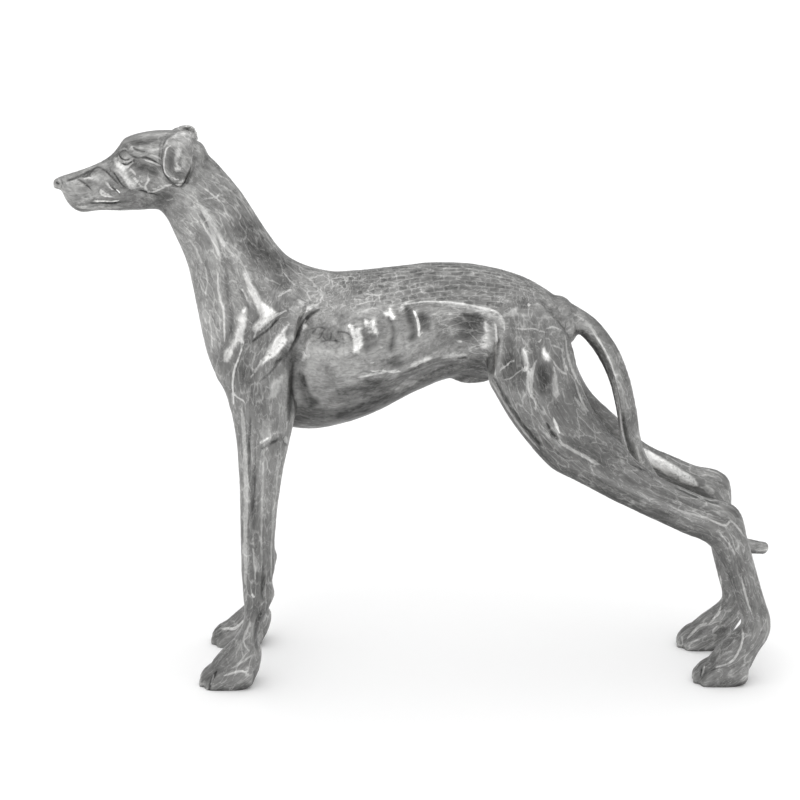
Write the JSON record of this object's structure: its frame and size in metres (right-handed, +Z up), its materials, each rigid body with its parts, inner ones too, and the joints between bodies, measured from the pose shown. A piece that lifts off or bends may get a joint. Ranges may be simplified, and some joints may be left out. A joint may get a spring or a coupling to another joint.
{
  "type": "dog statue",
  "caption": "Standing sighthound figure cast in aged aluminium, with a long neck, deep chest, tucked belly and a tail hanging between stretched hind legs",
  "frame": {"origin": "on the floor, under the middle of the figure's box", "axes": "+X from the nose to the tail, +Y from the dog's left side to its right side, +Z up"},
  "size_m": [0.8966, 0.191, 0.7046],
  "materials": {
    "aged_aluminium": "cast, hand finished, dark patina in the hollows and rubbed bright on the ridges"
  },
  "bodies": {
    "root": {"dog_figure": "aged_aluminium"}
  },
  "joints": []
}
